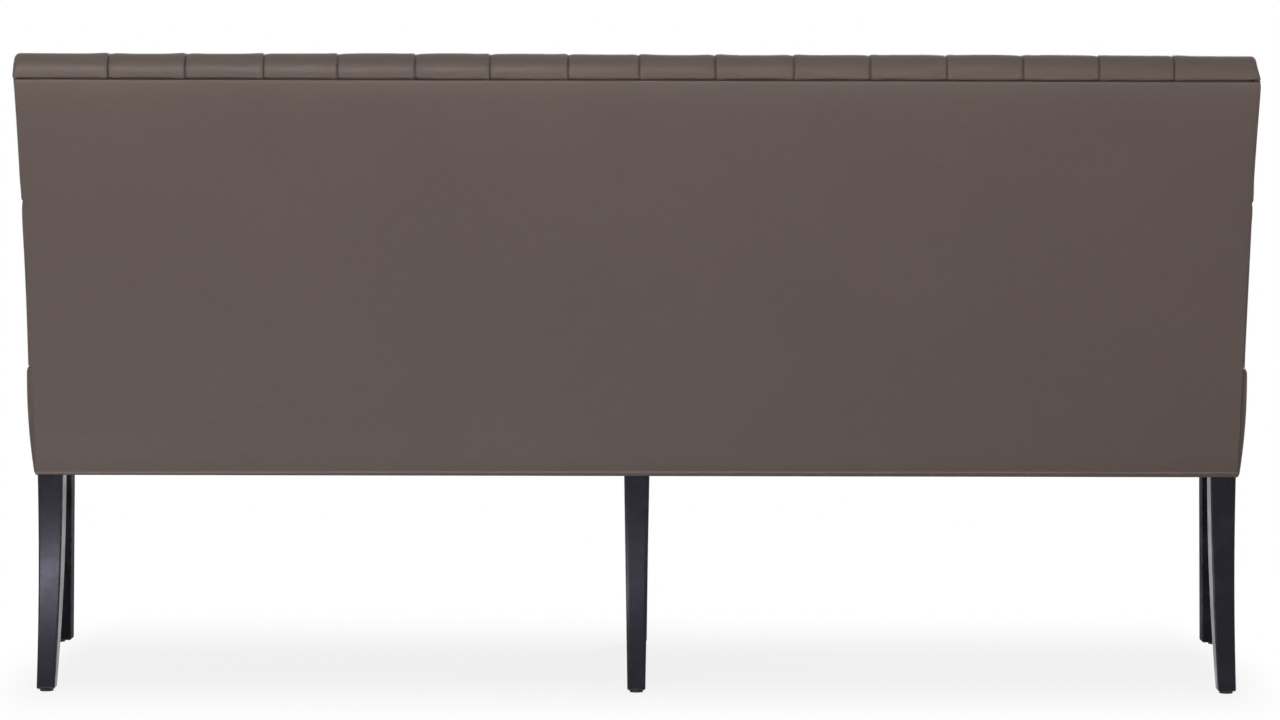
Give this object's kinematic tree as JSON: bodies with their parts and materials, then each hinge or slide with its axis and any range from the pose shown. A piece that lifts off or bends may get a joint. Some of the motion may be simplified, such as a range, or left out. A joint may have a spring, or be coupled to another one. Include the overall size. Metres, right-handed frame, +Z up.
{
  "type": "upholstered banquette bench",
  "caption": "Leather banquette bench with a leaning deep-buttoned back, rolled top edge, plain seat and slim dark legs, its rear feet swept back.",
  "frame": {"origin": "on the floor, under the middle of the bench's bounding box", "axes": "+X along the bench towards its left end as a sitter has it, -Y is the way a sitter faces, +Z is up"},
  "size_m": [1.9664, 0.6857, 0.9448],
  "materials": {
    "legs": "satin",
    "frame_wood": "matte",
    "dowel_wood": "matte",
    "steel_screws": "satin",
    "webbing": "matte",
    "canvas": "matte",
    "foam": "matte",
    "leather": "satin",
    "button_leather": "satin",
    "liner_board": "matte",
    "cambric": "matte",
    "glide_steel": "satin"
  },
  "bodies": {
    "root": {"rear_leg_left": "legs", "rear_leg_centre": "legs", "rear_leg_right": "legs", "front_leg_left": "legs", "front_leg_centre": "legs", "front_leg_right": "legs", "front_rail_left": "frame_wood", "front_rail_right": "frame_wood", "rear_rail_left": "frame_wood", "rear_rail_right": "frame_wood", "side_rail_left": "frame_wood", "side_rail_right": "frame_wood", "cross_rail_left": "frame_wood", "cross_rail_centre": "frame_wood", "cross_rail_right": "frame_wood", "corner_blocks": "frame_wood", "block_screws": "steel_screws", "frame_dowels": "dowel_wood", "top_rail": "frame_wood", "low_back_rail_left": "frame_wood", "low_back_rail_right": "frame_wood", "back_upright_left": "frame_wood", "back_upright_right": "frame_wood", "seat_webbing": "webbing", "back_webbing": "webbing", "seat_canvas": "canvas", "back_canvas": "canvas", "seat_foam": "foam", "back_foam": "foam", "seat_cover": "leather", "inside_back_cover": "leather", "tufting_buttons": "button_leather", "outside_back_liner": "liner_board", "tack_strip": "liner_board", "outside_back": "leather", "dust_cover": "cambric", "glides": "glide_steel"}
  },
  "joints": []
}
